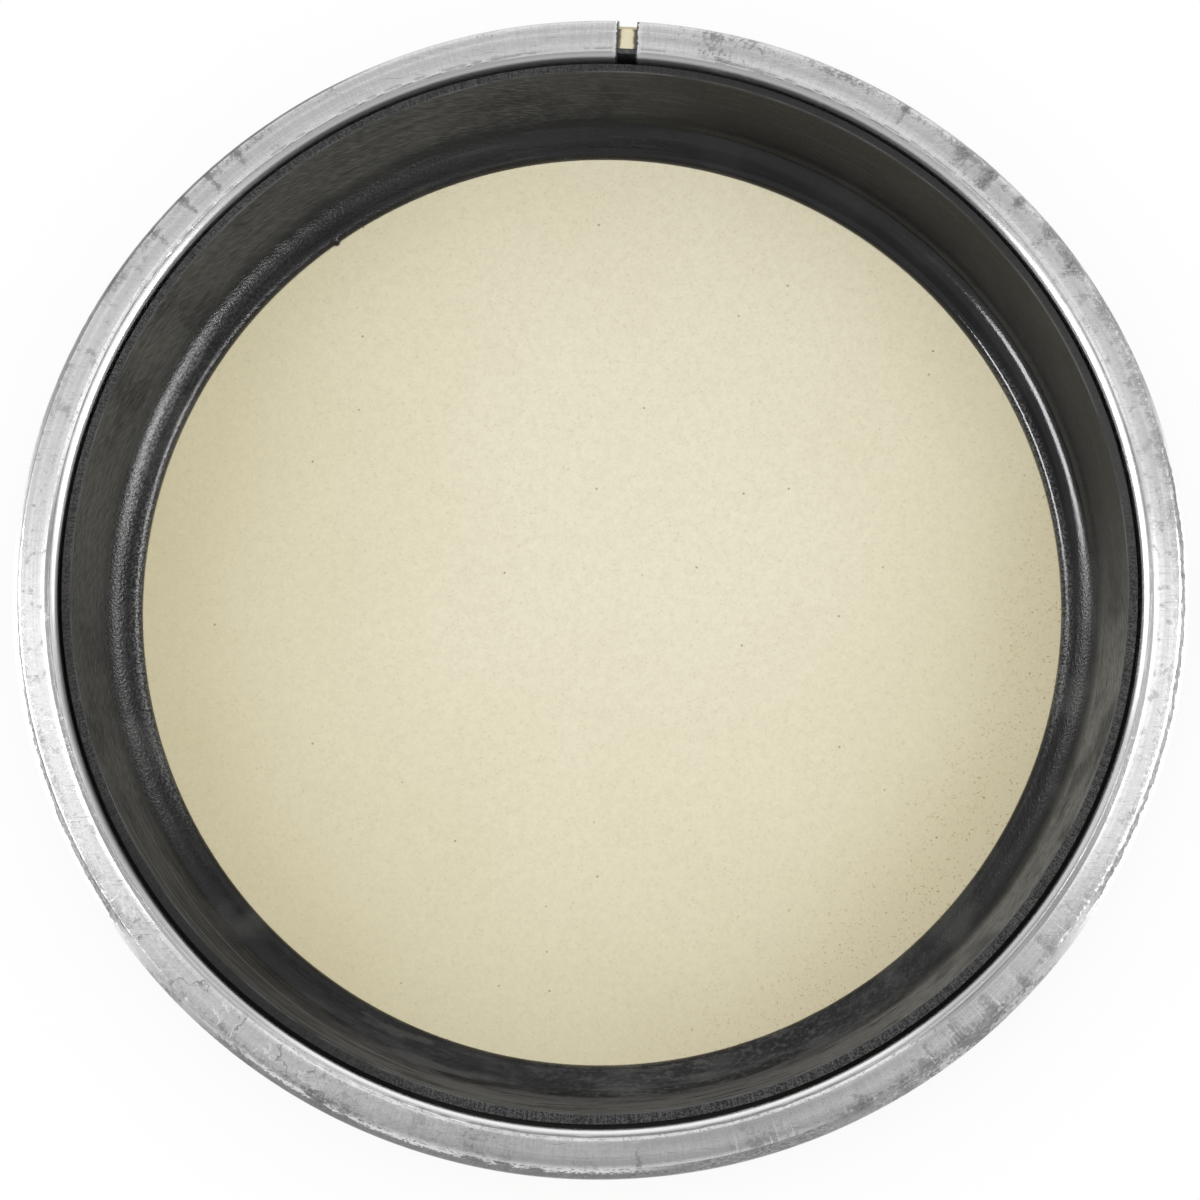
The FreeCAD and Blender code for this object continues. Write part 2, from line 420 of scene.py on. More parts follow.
def turned(name, outline, steps, shape=plain, gap=0.0):
    """Piece turned about the axis from an outline, open by a gap between two parallel faces."""
    across = np.array([point.real for point in outline])
    up = np.array([point.imag for point in outline])
    share = np.linspace(0, 1, steps, endpoint=gap > 0)
    half_gap = np.degrees(np.arcsin(gap / 2 / np.maximum(across, gap + 1)))
    angle = (gap_angle + half_gap + share[:, None] * (360 - 2 * half_gap)) % 360
    radius, height, masks = shape(angle, np.tile(across, (steps, 1)), np.tile(up, (steps, 1)))
    turn = np.radians(angle)
    place = np.stack([radius * np.sin(turn), radius * np.cos(turn), height], axis=-1)
    points = place.reshape(-1, 3) * MM

    mesh = bpy.data.meshes.new(name)
    mesh.from_pydata(points.tolist(), [], ring_faces(steps, len(outline), closed=gap == 0))
    for mask, values in masks.items():
        attribute = mesh.attributes.new(mask, "FLOAT", "POINT")
        attribute.data.foreach_set("value", values.astype(np.float32).ravel())
    mesh.shade_smooth()
    mesh.set_sharp_from_angle(angle=SHARP_EDGE)
    return put(name, mesh)


# Materials

def grey(level):
    """Colour without a tint."""
    return (level, level, level)


class Finish:
    """
    A material, with short calls that add its nodes. Lengths and places are in millimetres.
    A bracket (value, low, high) or (value, low, high, start, end) given for a number is a smooth step.
    """

    def __init__(self, name):
        self.material = bpy.data.materials.new(name)
        self.material.use_nodes = True
        self.tree = self.material.node_tree
        self.shader = self.tree.nodes["Principled BSDF"]
        coordinates = self.add("ShaderNodeTexCoord").outputs["Object"]
        self.place = self.vector("SCALE", coordinates, scale=1 / MM)
        parts = self.add("ShaderNodeSeparateXYZ", [(0, self.place)]).outputs
        self.x, self.y, self.height = parts
        flat = self.vector("MULTIPLY", self.place, (1, 1, 0))
        self.radius = self.length(flat)
        self.outwards = self.vector("NORMALIZE", flat)

    def add(self, kind, inputs=(), **settings):
        """New node with its settings, and inputs that are numbers, colours or other nodes' outputs."""
        node = self.tree.nodes.new(kind)
        for setting, value in settings.items():
            setattr(node, setting, value)
        for key, value in inputs:
            self.set(node.inputs[key], value)
        return node

    def set(self, socket, value):
        """Links or sets one input."""
        if socket.type == "VALUE" and isinstance(value, tuple):
            value = self.ramp(*value)
        if isinstance(value, bpy.types.NodeSocket):
            self.tree.links.new(value, socket)
        elif socket.type == "RGBA":
            socket.default_value = (*value, 1)
        else:
            socket.default_value = value

    def vector(self, operation, first, second=(0, 0, 0), scale=1):
        """Result of a vector operation."""
        inputs = [(0, first), (1, second), (3, scale)]
        return self.add("ShaderNodeVectorMath", inputs, operation=operation).outputs[0]

    def length(self, vector):
        """Length of a vector."""
        return self.add("ShaderNodeVectorMath", [(0, vector)], operation="LENGTH").outputs["Value"]

    def along(self, vector, direction):
        """How far a vector goes in a direction."""
        inputs = [(0, vector), (1, direction)]
        return self.add("ShaderNodeVectorMath", inputs, operation="DOT_PRODUCT").outputs["Value"]

    def maths(self, operation, *values):
        """Result of an operation on numbers."""
        return self.add("ShaderNodeMath", enumerate(values), operation=operation).outputs[0]

    def plus(self, first, *others):
        """Sum of values."""
        for other in others:
            first = self.maths("ADD", first, other)
        return first

    def times(self, first, *others):
        """Product of values."""
        for other in others:
            first = self.maths("MULTIPLY", first, other)
        return first

    def less(self, first, second):
        """First value less the second."""
        return self.maths("SUBTRACT", first, second)

    def rest(self, share):
        """What a share leaves of 1."""
        return self.less(1.0, share)

    def larger(self, first, second):
        """Larger of two values."""
        return self.maths("MAXIMUM", first, second)

    def ramp(self, value, low, high, start=0.0, end=1.0):
        """Smooth step from start to end while the value goes from low to high."""
        inputs = [("Value", value), ("From Min", low), ("From Max", high)]
        inputs += [("To Min", start), ("To Max", end)]
        return self.add("ShaderNodeMapRange", inputs, interpolation_type="SMOOTHSTEP").outputs["Result"]

    def between(self, share, start, end):
        """Smooth step from start to end while a share goes from 0 to 1."""
        return self.ramp(share, 0.0, 1.0, start, end)

    def window(self, value, low, high, soft=0.2):
        """1 between two values, with soft ends."""
        return self.times((value, low - soft, low), (value, high + soft, high))

    def wander(self, texture, reach):
        """Value of up to a reach to either side that follows a noise."""
        return self.ramp(texture, 0.3, 0.7, -reach, reach)

    def noise(self, place, size, detail=2.0, roughness=0.5):
        """Noise of 0 to 1 whose lumps are about a size."""
        inputs = [("Vector", place), ("Scale", 1 / size), ("Detail", detail), ("Roughness", roughness)]
        return self.add("ShaderNodeTexNoise", inputs).outputs["Fac"]

    def streaks(self, across, length, width, detail=2.0, roughness=0.5):
        """Noise drawn out round the axis into streaks of a length and a width."""
        round_axis = self.vector("SCALE", self.outwards, scale=hoop_radius / length)
        up = self.add("ShaderNodeCombineXYZ", [("Z", self.maths("DIVIDE", across, width))]).outputs[0]
        return self.noise(self.vector("ADD", round_axis, up), 1.0, detail, roughness)

    def stretched(self, degrees, length, width, detail=2.0):
        """Noise drawn out into straight streaks that lie at an angle in the plane of the hoop."""
        inputs = [("Vector", self.place), ("Rotation", (0, 0, math.radians(degrees)))]
        inputs.append(("Scale", (1 / length, 1 / width, 1 / width)))
        turned_place = self.add("ShaderNodeMapping", inputs, vector_type="POINT").outputs[0]
        return self.noise(turned_place, 1.0, detail)

    def from_gap_middle(self):
        """Distance from the middle of the hoop's gap, along the hoop."""
        return self.maths("ABSOLUTE", self.along(self.place, gap_side))

    def mask(self, name):
        """Value that the mesh carries."""
        return self.add("ShaderNodeAttribute", attribute_name=name).outputs["Fac"]

    def mix(self, share, first, second):
        """Colour between two colours."""
        inputs = [(0, share), (6, first), (7, second)]
        return self.add("ShaderNodeMix", inputs, data_type="RGBA").outputs[2]

    def mottled(self, texture, dark, light):
        """Colour between a dark and a light one that follows a noise."""
        return self.mix((texture, 0.35, 0.65), dark, light)

    def bump(self, height, depth, under=None):
        """Normal of a relief of a depth."""
        inputs = [("Height", height), ("Distance", depth * MM)]
        if under is not None:
            inputs.append(("Normal", under))
        return self.add("ShaderNodeBump", inputs).outputs[0]

    def finish(self, **inputs):
        """Sets the shader's inputs and gives the material."""
        for name, value in inputs.items():
            self.set(self.shader.inputs[name.replace("_", " ")], value)
        return self.material

    def surface(self, shader):
        """Shows another shader and gives the material."""
        self.tree.nodes.remove(self.shader)
        self.tree.links.new(shader.outputs[0], self.tree.nodes["Material Output"].inputs["Surface"])
        return self.material


# Aluminium of the hoop

class HoopMetal(Finish):
    """Worn sheet. Each layer takes a colour and gives it back with its own marks on it."""

    def __init__(self):
        super().__init__("worn_aluminium")
        self.add_textures()
        self.add_zones()
        self.oxide = self.oxide_level()
        self.dull = self.ramp(self.oxide, 0.56, 0.74)
        self.dirt_and_shade = self.corner_dirt_and_shade()
        self.scratches = self.ramp(self.stretched(-50, 4.5, 0.30), 0.62, 0.74, 0, 0.5)
        self.curls = self.curled_marks()

    def add_textures(self):
        """Brushing along the hoop, marks across it, bands, four noises, and distances on the web."""
        self.brushing = self.streaks(self.radius, 30, 0.15, detail=4, roughness=0.7)
        self.crosswise = self.streaks(self.radius, 0.35, 7, detail=3)
        self.bands = self.streaks(self.radius, 200, 1.4)
        self.clouds = self.noise(self.place, 11, detail=5, roughness=0.65)
        self.patches = self.noise(self.place, 2.5, detail=4, roughness=0.65)
        self.grain = self.noise(self.place, 0.9, detail=4, roughness=0.7)
        self.speckle = self.noise(self.place, 0.45, detail=1)
        self.past_groove = self.less(self.radius, groove_end)
        self.past_corner = self.less(self.radius, web_corner)
        self.past_ragged_corner = self.plus(self.past_corner, self.wander(self.grain, 0.3))

    def add_zones(self):
        """Shares of 0 to 1 for the parts of the hoop that have worn in different ways."""
        self.aside = self.maths("ABSOLUTE", self.x)
        low = self.ramp(self.y, -50, -80)
        self.upper_left = self.ramp(self.less(self.y, self.x), 60, 140)
        self.lower_left = self.times(low, (self.x, 5, -35))
        self.lower_right = self.times(low, (self.x, -5, 15))
        self.bottom = self.ramp(self.y, -75, -105)
        self.sides = self.ramp(self.aside, 70, 105)
        self.outer_sides = self.times((self.aside, 85, 103), (self.y, 50, 20))
        lower_half = self.ramp(self.y, 35, 5)
        self.right_side = self.times((self.x, 55, 75), (self.y, 45, 20))
        self.left_side = self.times((self.x, -60, -80), lower_half)
        self.both_sides = self.plus(self.right_side, self.left_side)
        self.scuffed_left = self.times((self.x, -80, -100), lower_half)
        turned_right = self.ramp(self.x, 0, 60, 0, 15)
        # The top, where burr and groove are unworn and the inner round carries a painted dark reflection.
        self.unworn_and_dim_top = self.ramp(self.plus(self.y, turned_right), 45, 95)
        self.inner_round = self.ramp(self.radius, groove_start, groove_start - 0.2)

    def oxide_level(self):
        """Cloudy level, higher at the outer edge and in the tool marks, lower where the web is clean."""
        edge = self.times(
            (self.past_corner, -2.6, -0.9),
            (self.y, -100, -30, 0.14, 0.22),
            (self.aside, 35, 60, 0.4, 1),
            self.between(self.upper_left, 1, 0.6),
            (self.plus(self.x, self.y), 90, 140, 1, 0.6),
        )
        clean = self.times(self.larger(self.upper_left, self.lower_left), -0.06)
        marks = self.times(self.mask("marks"), 0.25)
        fine = self.ramp(self.grain, 0.2, 0.8, -0.22, 0.22)
        return self.plus(self.clouds, clean, edge, marks, fine)

    def corner_dirt_and_shade(self):
        """Share of dark colour on the outer corner, patchy at the sides and thin at the bottom: partly
        dirt, and partly painted shade and painted dark reflection of a darker floor.
        """
        unevenness = self.plus(self.wander(self.grain, 0.12), self.wander(self.patches, 0.25))
        wavering = self.plus(self.past_corner, unevenness)
        left_reach = self.plus((self.y, -5, -55, 0.2, 1), (self.y, 0, 40, 0, 1.2))
        left = self.times(
            (self.past_corner, -0.3, -0.1),
            (self.less(wavering, left_reach), 0.3, 0),
            (self.x, -40, -62),
            (self.y, -85, -65),
            (self.y, -30, 10, 1, 0.72),
        )
        right = self.times(self.window(wavering, 0.15, 1), (self.x, 0, 60), self.outer_sides)
        bottom = self.times(self.window(self.past_corner, -0.5, -0.05), self.bottom, 0.25)
        low_sides = self.times(
            self.window(self.past_ragged_corner, -0.5, 0.3),
            (self.y, -30, -60),
            (self.aside, 25, 55),
            (self.grain, 0.30, 0.55, 0.2, 0.6),
        )
        return self.larger(self.larger(left, right), self.larger(bottom, low_sides))

    def curled_marks(self):
        """Share of the thin curled marks at the lower left."""
        from_line = self.maths("ABSOLUTE", self.less(self.noise(self.place, 4.5, detail=3), 0.5))
        return self.times(
            (from_line, 0.010, 0.028, 0.8, 0),
            self.lower_left,
            (self.x, -45, -70, 0.3, 1),
            (self.clouds, 0.40, 0.50),
        )

    def sheet(self):
        """Bare sheet: bands and brushing along the hoop, fine marks across it, and a grain."""
        colour = self.mix((self.bands, 0.3, 0.7), grey(0.62), grey(0.82))
        colour = self.mix((self.brushing, 0.35, 0.7, 0.25, 0), colour, grey(0.50))
        across = self.times((self.crosswise, 0.35, 0.6, 0.25, 0), self.between(self.sides, 1, 0.2))
        colour = self.mix(across, colour, grey(0.45))
        return self.mix((self.grain, 0.38, 0.55, 0.30, 0), colour, grey(0.48))

    def oxidised(self, colour):
        """Dull grey patches, paler at the lower right."""
        darkest = self.mix(self.lower_right, grey(0.16), grey(0.25))
        return self.mix(self.dull, colour, self.mottled(self.grain, darkest, grey(0.38)))

    def scratched(self, colour):
        """Bright scuffs and rake marks, dark scratches, curled marks, and smudges at the sides."""
        scuffs = self.ramp(self.stretched(28, 6, 0.30), 0.60, 0.76, 0, 0.3)
        colour = self.mix(scuffs, colour, grey(0.92))
        rakes = self.ramp(self.streaks(self.radius, 0.5, 6, detail=1), 0.60, 0.74, 0, 0.6)
        rakes = self.times(rakes, self.lower_right, (self.clouds, 0.42, 0.54))
        colour = self.mix(rakes, colour, grey(0.90))
        colour = self.mix(self.scratches, colour, grey(0.30))
        curl_light = self.ramp(self.noise(self.place, 6), 0.48, 0.54)
        colour = self.mix(self.curls, colour, self.mix(curl_light, grey(0.24), grey(0.92)))
        smudges = self.times((self.patches, 0.56, 0.66, 0, 0.55), self.sides)
        return self.mix(smudges, colour, grey(0.28))

    def flared(self, colour):
        """Leaning outer leg with painted reflections: bright at the sides, standing in for the side lights'
        reflection, and dark at the bottom, standing in for a darker floor's reflection.
        """
        flare = self.ramp(self.past_corner, 0.1, 0.4)
        leg = self.mix((self.oxide, 0.50, 0.78), grey(0.50), grey(0.15))
        dark = self.times(self.bottom, (self.x, 70, 40))
        lightest = self.mix((self.x, 0, 30), grey(0.15), grey(0.28))
        # Painted dark reflection on the leg at the bottom.
        leg = self.mix(dark, leg, self.mottled(self.grain, grey(0.05), lightest))
        # Painted bright reflection on the leg at the sides.
        leg = self.mix(self.outer_sides, leg, grey(0.94))
        return self.mix(self.times(flare, 0.92), colour, leg)

    def soiled(self, colour):
        """Dirt and painted shade on the outer corner, bright points in the oxide, and a painted highlight
        line on the outer corner at the bottom.
        """
        # Painted shade and dirt: dark mottled colour on the outer corner.
        colour = self.mix(self.dirt_and_shade, colour, self.mottled(self.grain, grey(0.08), grey(0.20)))
        bright = self.ramp(self.speckle, 0.66, 0.74, 0, 0.25)
        colour = self.mix(self.times(bright, (self.oxide, 0.55, 0.66)), colour, grey(0.95))
        # Painted highlight: a light line on the outer corner at the bottom.
        bottom_edge_highlight = self.times(
            self.window(self.past_ragged_corner, 0.35, 0.8, soft=0.15),
            (self.y, -80, -100),
            (self.x, 20, 0),
            (self.clouds, 0.62, 0.54),
        )
        return self.mix(bottom_edge_highlight, colour, grey(0.66))

    def burred(self, colour):
        """Bright broken burr, wider at the left, partly polished metal and partly a painted glint, and a
        grey web beside it at the lower right.
        """
        inner_web = self.times(self.lower_right, (self.past_groove, 3.4, 0.9))
        colour = self.mix(self.times(inner_web, 0.45), colour, grey(0.42))
        burr_edge = self.plus(self.past_groove, self.wander(self.grain, 0.25))
        burr_reach = self.ramp(self.x, -20, 20, burr_width - 0.2, burr_width / 2)
        # Bright burr colour: polished metal and partly a painted glint.
        burr = self.times(
            (self.past_groove, -0.1, 0),
            (burr_edge, self.plus(burr_reach, 0.2), burr_reach),
            (self.grain, 0.35, 0.5),
            self.rest(self.unworn_and_dim_top),
            self.rest(self.both_sides),
        )
        return self.mix(burr, colour, grey(0.93))

    def banded(self, colour):
        """Dark band from the groove outwards at the two sides, where groove and burr are worn even."""
        band_reach = self.plus(
            self.times(self.right_side, (self.y, 30, -60, 0, 0.8)),
            self.times(self.left_side, 0.4),
        )
        band = self.times(
            (self.radius, groove_start - 0.2, groove_start),
            (self.less(self.past_groove, band_reach), 0.25, 0),
            self.both_sides,
            (self.bands, 0.3, 0.7, 0.9, 1),
        )
        left = self.mix((self.y, -85, -50), grey(0.50), grey(0.17))
        right = self.mix(self.window(self.y, -60, -5, 20), grey(0.40), grey(0.22))
        return self.mix(band, colour, self.mix(self.left_side, right, left))

    def polished(self, colour):
        """Bright inner round; duller at the top, where a dark reflection is painted, and duller at the
        lower sides and at the left.
        """
        lower_sides = self.times(self.window(self.y, -85, -35, 15), (self.aside, 50, 70))
        # Painted reflection: the inner round is dimmed at the top.
        bright = self.mix(self.unworn_and_dim_top, grey(0.93), grey(0.48))
        bright = self.mix(lower_sides, bright, grey(0.56))
        bright = self.mix(self.scuffed_left, bright, grey(0.32))
        return self.mix(self.inner_round, colour, bright)

    def grooved(self, colour):
        """Darker groove, lighter at the bottom and at the top."""
        groove = self.window(self.radius, groove_start + 0.2, groove_end - 0.2, soft=0.15)
        groove = self.times(groove, (self.noise(self.place, 4), 0.35, 0.6, 0.6, 1))
        groove_tone = self.mix((self.y, -70, -30), grey(0.60), grey(0.22))
        groove_tone = self.mix(self.unworn_and_dim_top, groove_tone, grey(0.55))
        groove_tone = self.mix(self.scuffed_left, groove_tone, grey(0.18))
        return self.mix(groove, colour, groove_tone)

    def sawn(self, colour):
        """Painted shadow: dark uneven edges at the gap, where the sawn ends stand in shade."""
        from_gap = self.less(self.from_gap_middle(), gap_width / 2)
        from_gap = self.plus(from_gap, self.wander(self.grain, 0.15))
        edge = self.times((from_gap, 0.45, 0.15), (self.y, 100, 105))
        return self.mix(edge, colour, grey(0.08))

    def roughness(self):
        """Smooth sheet, rougher in oxide, on the scuffed parts of the inner round, and where dirt and
        painted shade lie on the outer corner.
        """
        scuffed = self.larger(self.scuffed_left, self.unworn_and_dim_top)
        round_share = self.times(self.inner_round, self.between(scuffed, 0.04, 0.14))
        return self.plus(self.between(self.dull, 0.21, 0.30), round_share, self.times(self.dirt_and_shade, 0.45))

    def relief(self):
        """Fine relief of the brushing, the crosswise marks, the grain and the scratches."""
        web = self.rest(self.inner_round)
        relief = self.bump(self.times(self.brushing, self.plus(web, 0.25)), 0.008)
        relief = self.bump(self.times(self.crosswise, self.rest(self.sides)), 0.001, relief)
        relief = self.bump(self.times(self.grain, web), 0.012, relief)
        return self.bump(self.plus(self.scratches, self.curls), 0.01, relief)


def aluminium():
    """Worn sheet, brushed round the axis, with oxide, scratches, dirt and a bright burr, and with painted
    shade, reflections and highlights on its edges and inner round.
    """
    look = HoopMetal()
    colour = look.sheet()
    layers = (look.oxidised, look.scratched, look.flared, look.soiled, look.burred)
    layers += (look.banded, look.polished, look.grooved, look.sawn)
    for layer in layers:
        colour = layer(colour)
    tangent = look.add("ShaderNodeTangent", direction_type="RADIAL", axis="Z").outputs[0]
    look.finish(Metallic=1, Anisotropic=0.9, Anisotropic_Rotation=0.25, Tangent=tangent)
    return look.finish(Base_Color=colour, Roughness=look.roughness(), Normal=look.relief())


# Cream film

def cream_film():
    """Matt felted film with flecks and specks, painted shadow where it meets the collar, and dirt and
    painted shade at the hoop's gap.
    """
    look = Finish("cream_film")
    clouds = look.noise(look.place, 45, detail=2)
    mottle = look.noise(look.place, 2.2, detail=3)
    felt = look.noise(look.place, 0.8, detail=4, roughness=0.65)

    # Cream, yellower towards its border and browner at the lower right.
    off_middle = look.vector("ADD", look.place, (-10, -22, 0))
    from_middle = look.length(look.vector("MULTIPLY", off_middle, (1, 0.8, 0)))
    lower_right = look.less(look.x, look.times(look.y, 0.5))
    soiled = look.times((lower_right, 40, 95), (from_middle, 62, 95))
    border = look.plus((from_middle, 15, 118), look.wander(clouds, 0.08))
    colour = look.mix(border, (0.82, 0.775, 0.59), (0.685, 0.62, 0.40))
    colour = look.mix(look.times(soiled, 0.45), colour, (0.56, 0.475, 0.32))
    colour = look.mix((mottle, 0.35, 0.65, 0, 0.10), colour, (0.62, 0.54, 0.37))
    colour = look.mix((felt, 0.35, 0.62, 0.14, 0), colour, (0.50, 0.43, 0.28))
    colour = look.mix((felt, 0.62, 0.75, 0, 0.25), colour, (0.90, 0.87, 0.75))

    # Fine brown flecks in loose groups, most at the lower right, and a few dark specks.
    grouped = look.times((mottle, 0.42, 0.60, 0.15, 1), look.between(soiled, 0.18, 0.75))
    flecks = look.times((look.noise(look.place, 0.55, detail=1), 0.58, 0.74), grouped)
    colour = look.mix(flecks, colour, (0.36, 0.27, 0.12))
    speck_spacing = 10
    inputs = [("Vector", look.place), ("Scale", 1 / speck_spacing)]
    cells = look.add("ShaderNodeTexVoronoi", inputs, voronoi_dimensions="2D").outputs
    chosen = look.add("ShaderNodeSeparateColor", [(0, cells["Color"])]).outputs[0]
    specks = look.times((cells["Distance"], 0.010, 0.036, 1, 0), (chosen, 0.76, 0.96), 0.7)
    colour = look.mix(specks, colour, (0.16, 0.12, 0.07))

    # Painted shadow: near-black on the upper side between the collar's wall and the skirt, where the gap
    # beside the hoop lies in shade; and darker brown at the walls of the hoop's gap, partly dirt and partly
    # painted shade.
    normal = look.add("ShaderNodeNewGeometry").outputs["Normal"]
    up = look.add("ShaderNodeSeparateXYZ", [(0, normal)]).outputs["Z"]
    upper_side = look.ramp(look.less(up, look.along(normal, look.outwards)), 0, 0.2)
    past_strip = look.less(look.radius, strip_outside)
    gap_shadow = look.times(upper_side, (look.height, 5, 8), (past_strip, -0.15, -0.55))
    colour = look.mix(gap_shadow, colour, (0.015, 0.013, 0.010))
    from_gap = look.plus(look.from_gap_middle(), look.times(mottle, 1.2))
    dirt_and_shade = look.times((from_gap, 1.6, 2.2), (look.y, 100, 105), (look.height, open_side, web_top - 4))
    colour = look.mix(dirt_and_shade, colour, (0.10, 0.08, 0.05))
    return look.finish(Base_Color=colour, Roughness=0.62, Normal=look.bump(felt, 0.03))


# Dark fibre of the collar ring

class CollarFibre(Finish):
    """Moulded fibre. Each layer takes a colour and gives it back with its own marks on it."""

    def __init__(self):
        super().__init__("dark_fibre")
        self.add_zones()
        self.add_textures()
        self.cut_end = self.mask("cut_end")

    def add_zones(self):
        """Shares of 0 to 1 for the wall, for its hazy and its black sides, and for parts round the ring,
        such as the left bend with its painted highlights.
        """
        self.wall = self.ramp(self.height, collar_base + 3.8, collar_base + 8.5)
        self.flange = self.rest(self.wall)
        self.low = self.ramp(self.y, -60, -95)
        self.upper_right = self.ramp(self.plus(self.x, self.y), 70, 130)
        self.lower_right = self.times((self.x, 20, 60), (self.y, 10, -25))
        self.lower_left = self.times((self.x, 10, -30), (self.y, -20, -55))
        self.left_bend = self.times((self.x, -55, -80), self.flange, (self.y, -60, -35))
        crossed = self.times(self.x, self.y)
        hazy_half = self.times((self.y, 0, -40), (crossed, 6000, 2500))
        haze = self.plus((crossed, 3500, -2000), hazy_half)
        self.haze = self.maths("MINIMUM", haze, 1)

    def add_textures(self):
        """Streaks along the wall, broader at the bottom, slanting fibres, a grain and clouds."""
        self.upwards = self.plus(self.radius, self.height)
        fine = self.streaks(self.upwards, 24, 0.9, detail=4, roughness=0.65)
        broad = self.streaks(self.upwards, 20, 3, detail=4, roughness=0.65)
        self.lines = self.plus(self.times(fine, self.rest(self.low)), self.times(broad, self.low))
        slant = self.times(self.plus(self.x, self.y), 0.5)
        self.fibres = self.streaks(self.plus(self.upwards, slant), 2.6, 0.45, detail=3, roughness=0.6)
        self.grain = self.noise(self.place, 0.55, detail=2)
        self.clouds = self.noise(self.place, 16, detail=4)

    def moulded(self):
        """Black flange, and a wall that is black on two sides and hazy between, with clouds; the hazy wall
        is painted darker at the top as painted shade and lighter at the lower right as painted sheen.
        """
        warm = self.ramp(self.less(self.y, self.x), -60, 60)
        hazy = self.mix(warm, (0.083, 0.085, 0.083), (0.076, 0.076, 0.069))
        # Painted shade: the wall is darker at the top.
        hazy = self.mix((self.y, 60, 105), hazy, (0.052, 0.052, 0.047))
        # Painted sheen: the wall is lighter at the lower right.
        hazy = self.mix(self.lower_right, hazy, (0.215, 0.213, 0.200))
        black = self.mix((self.y, 0, -60), grey(0.006), grey(0.009))
        colour = self.mix(self.wall, (0.008, 0.008, 0.0083), self.mix(self.haze, black, hazy))
        colour = self.mix((self.clouds, 0.50, 0.68, 0, 0.6), colour, grey(0.005))
        pale_clouds = self.times((self.clouds, 0.50, 0.34, 0, 0.4), self.between(self.upper_right, 1, 0.2))
        return self.mix(pale_clouds, colour, (0.082, 0.081, 0.077))

    def streaked(self, colour):
        """Dark and pale streaks, sharper at the bottom."""
        share = self.times(self.between(self.low, 0.45, 0.85), (self.haze, 0, 0.6, 0.3, 1))
        dark_from = self.between(self.low, 0.30, 0.37)
        colour = self.mix(self.times((self.lines, 0.50, dark_from), share), colour, grey(0.003))
        pale_to = self.between(self.low, 0.72, 0.63)
        pale = self.times((self.lines, 0.52, pale_to), share, self.between(self.wall, 0.35, 1))
        return self.mix(pale, colour, (0.125, 0.122, 0.115))

    def fibrous(self, colour):
        """Pale and dark slanting fibres, most on the hazy wall."""
        pale = self.times(
            (self.fibres, 0.45, 0.75),
            self.between(self.haze, 0.18, 0.6),
            self.between(self.upper_right, 1, 0.3),
        )
        colour = self.mix(pale, colour, self.mix(self.wall, grey(0.024), (0.150, 0.147, 0.137)))
        dark = self.times((self.fibres, 0.52, 0.34), self.wall, self.between(self.lower_right, 0.4, 0.65))
        return self.mix(dark, colour, grey(0.004))

    def dusty(self, colour):
        """Dust in the streaks at the bottom."""
        dust = self.times(
            (self.y, -70, -105),
            (self.height, collar_base + 2, collar_base + 4.5),
            (self.clouds, 0.35, 0.6, 0.3, 0.7),
            (self.lines, 0.42, 0.58),
        )
        return self.mix(dust, colour, (0.085, 0.085, 0.088))

    def worn(self, colour):
        """Painted highlights: grey grain on the lip at the left and right, and on the bend at the left,
        standing in for the grainy highlights there.
        """
        left_lip = self.times((self.x, 0, -40), self.window(self.y, -30, 15, 20))
        right_lip = self.times((self.x, 0, 40), self.window(self.y, -15, 40, 20))
        lip_highlight = self.times(
            (self.radius, lip + 2.8, lip + 1.4),
            self.plus(left_lip, right_lip),
            (self.grain, 0.40, 0.66, 0, 0.6),
        )
        colour = self.mix(lip_highlight, colour, grey(0.16))
        bend_highlight = self.times(self.left_bend, (self.grain, 0.45, 0.70, 0, 0.3))
        colour = self.mix(bend_highlight, colour, grey(0.10))
        # Painted highlight: a lighter band on the left bend.
        bright_bend_highlight = self.times(
            (self.height, flange_top + 0.05, flange_top + 0.2),
            (self.height, flange_top + 2, flange_top + 0.9),
            self.left_bend,
            self.window(self.y, 25, 48, 18),
            (self.grain, 0.40, 0.70, 0.1, 0.8),
        )
        return self.mix(bright_bend_highlight, colour, grey(0.20))

    def gritty(self, colour):
        """Short pale marks at the bottom, and long pale rings on the wall at the lower left."""
        grit = self.ramp(self.streaks(self.upwards, 1.6, 0.7, detail=2), 0.48, 0.68, 0, 0.35)
        grit = self.times(grit, self.low, self.rest(self.lower_left))
        colour = self.mix(grit, colour, grey(0.12))
        rings = self.ramp(self.streaks(self.upwards, 150, 1.5, detail=2), 0.55, 0.64, 0, 0.75)
        rings = self.times(rings, self.lower_left, self.wall)
        return self.mix(rings, colour, (0.115, 0.114, 0.110))

    def sawn(self, colour):
        """Striped cut end, darker on the black sides of the ring, which at the lower left is painted shade,
        with a painted highlight along its inner edge.
        """
        stripes = self.times(self.streaks(self.height, 0.26, 8, detail=1), 0.35)
        stripes = self.plus(stripes, self.times(self.noise(self.place, 0.40, detail=1), 0.65))
        # Stripes painted darker on the black sides; at the lower left this stands for the end in shade.
        light = self.mix(self.haze, grey(0.020), grey(0.082))
        striped = self.mix((stripes, 0.38, 0.66), grey(0.012), light)
        colour = self.mix(self.cut_end, colour, striped)
        worn_edge = self.times(self.mask("worn_edge"), (self.lines, 0.40, 0.60, 0.1, 0.6))
        return self.mix(worn_edge, colour, grey(0.20))

